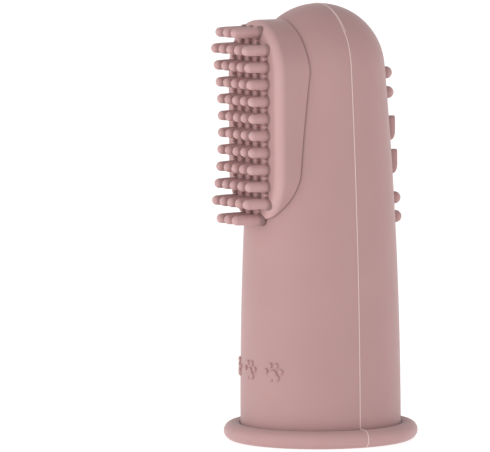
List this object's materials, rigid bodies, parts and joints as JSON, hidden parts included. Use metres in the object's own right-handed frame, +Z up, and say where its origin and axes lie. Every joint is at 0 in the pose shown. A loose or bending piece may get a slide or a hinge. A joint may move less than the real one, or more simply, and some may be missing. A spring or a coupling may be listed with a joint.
{
  "type": "silicone finger toothbrush for pets",
  "caption": "Soft silicone thimble worn on a finger, with a bristle pad on its front and massage nubs on its back.",
  "frame": {"origin": "centre of the flat ring that the open mouth stands on", "axes": "+Z up along the finger bore to the domed tip, -Y out of the bristle pad, +Y out of the back"},
  "size_m": [0.0226, 0.0238, 0.0508],
  "materials": {
    "silicone": "matte dusty pink silicone rubber, as moulded"
  },
  "bodies": {
    "moulding": {"base_rim": "silicone", "brush_pad": "silicone", "finger_sleeve": "silicone", "massage_bar_row_1": "silicone", "massage_bar_row_2": "silicone", "massage_dome_row_1": "silicone", "massage_dome_row_2": "silicone", "massage_dome_row_3": "silicone", "massage_dome_row_4": "silicone", "paw_print_left": "silicone", "paw_print_middle": "silicone", "paw_print_right": "silicone", "stud_row_01": "silicone", "stud_row_02": "silicone", "stud_row_03": "silicone", "stud_row_04": "silicone", "stud_row_05": "silicone", "stud_row_06": "silicone", "stud_row_07": "silicone", "stud_row_08": "silicone", "stud_row_09": "silicone", "stud_row_10": "silicone", "stud_row_11": "silicone"},
    "row_01": {"bristle_row_01": "silicone"},
    "row_02": {"bristle_row_02": "silicone"},
    "row_03": {"bristle_row_03": "silicone"},
    "row_04": {"bristle_row_04": "silicone"},
    "row_05": {"bristle_row_05": "silicone"},
    "row_06": {"bristle_row_06": "silicone"},
    "row_07": {"bristle_row_07": "silicone"},
    "row_08": {"bristle_row_08": "silicone"},
    "row_09": {"bristle_row_09": "silicone"},
    "row_10": {"bristle_row_10": "silicone"},
    "row_11": {"bristle_row_11": "silicone"},
    "row_12": {"bristle_row_12": "silicone"}
  },
  "joints": [
    {"name": "row_01_bend", "type": "hinge", "parent": "moulding", "child": "row_01", "pos_m": [0, -0.00948, 0.04773], "axis": [1, 0, 0], "range_deg": [-15, 15], "stiffness_Nm_per_rad": 0.0003183},
    {"name": "row_02_bend", "type": "hinge", "parent": "moulding", "child": "row_02", "pos_m": [0, -0.00948, 0.04577], "axis": [1, 0, 0], "range_deg": [-15, 15], "stiffness_Nm_per_rad": 0.0005994},
    {"name": "row_03_bend", "type": "hinge", "parent": "moulding", "child": "row_03", "pos_m": [0, -0.00948, 0.04381], "axis": [1, 0, 0], "range_deg": [-15, 15], "stiffness_Nm_per_rad": 0.0006688},
    {"name": "row_04_bend", "type": "hinge", "parent": "moulding", "child": "row_04", "pos_m": [0, -0.00948, 0.04185], "axis": [1, 0, 0], "range_deg": [-15, 15], "stiffness_Nm_per_rad": 0.0007324},
    {"name": "row_05_bend", "type": "hinge", "parent": "moulding", "child": "row_05", "pos_m": [0, -0.00948, 0.03989], "axis": [1, 0, 0], "range_deg": [-15, 15], "stiffness_Nm_per_rad": 0.0007819},
    {"name": "row_06_bend", "type": "hinge", "parent": "moulding", "child": "row_06", "pos_m": [0, -0.00948, 0.03793], "axis": [1, 0, 0], "range_deg": [-15, 15], "stiffness_Nm_per_rad": 0.0008093},
    {"name": "row_07_bend", "type": "hinge", "parent": "moulding", "child": "row_07", "pos_m": [0, -0.00948, 0.03597], "axis": [1, 0, 0], "range_deg": [-15, 15], "stiffness_Nm_per_rad": 0.0008093},
    {"name": "row_08_bend", "type": "hinge", "parent": "moulding", "child": "row_08", "pos_m": [0, -0.00948, 0.03401], "axis": [1, 0, 0], "range_deg": [-15, 15], "stiffness_Nm_per_rad": 0.0007819},
    {"name": "row_09_bend", "type": "hinge", "parent": "moulding", "child": "row_09", "pos_m": [0, -0.00948, 0.03205], "axis": [1, 0, 0], "range_deg": [-15, 15], "stiffness_Nm_per_rad": 0.0007324},
    {"name": "row_10_bend", "type": "hinge", "parent": "moulding", "child": "row_10", "pos_m": [0, -0.00948, 0.03009], "axis": [1, 0, 0], "range_deg": [-15, 15], "stiffness_Nm_per_rad": 0.0006688},
    {"name": "row_11_bend", "type": "hinge", "parent": "moulding", "child": "row_11", "pos_m": [0, -0.00948, 0.02813], "axis": [1, 0, 0], "range_deg": [-15, 15], "stiffness_Nm_per_rad": 0.0005994},
    {"name": "row_12_bend", "type": "hinge", "parent": "moulding", "child": "row_12", "pos_m": [0, -0.00948, 0.02617], "axis": [1, 0, 0], "range_deg": [-15, 15], "stiffness_Nm_per_rad": 0.0003183}
  ]
}
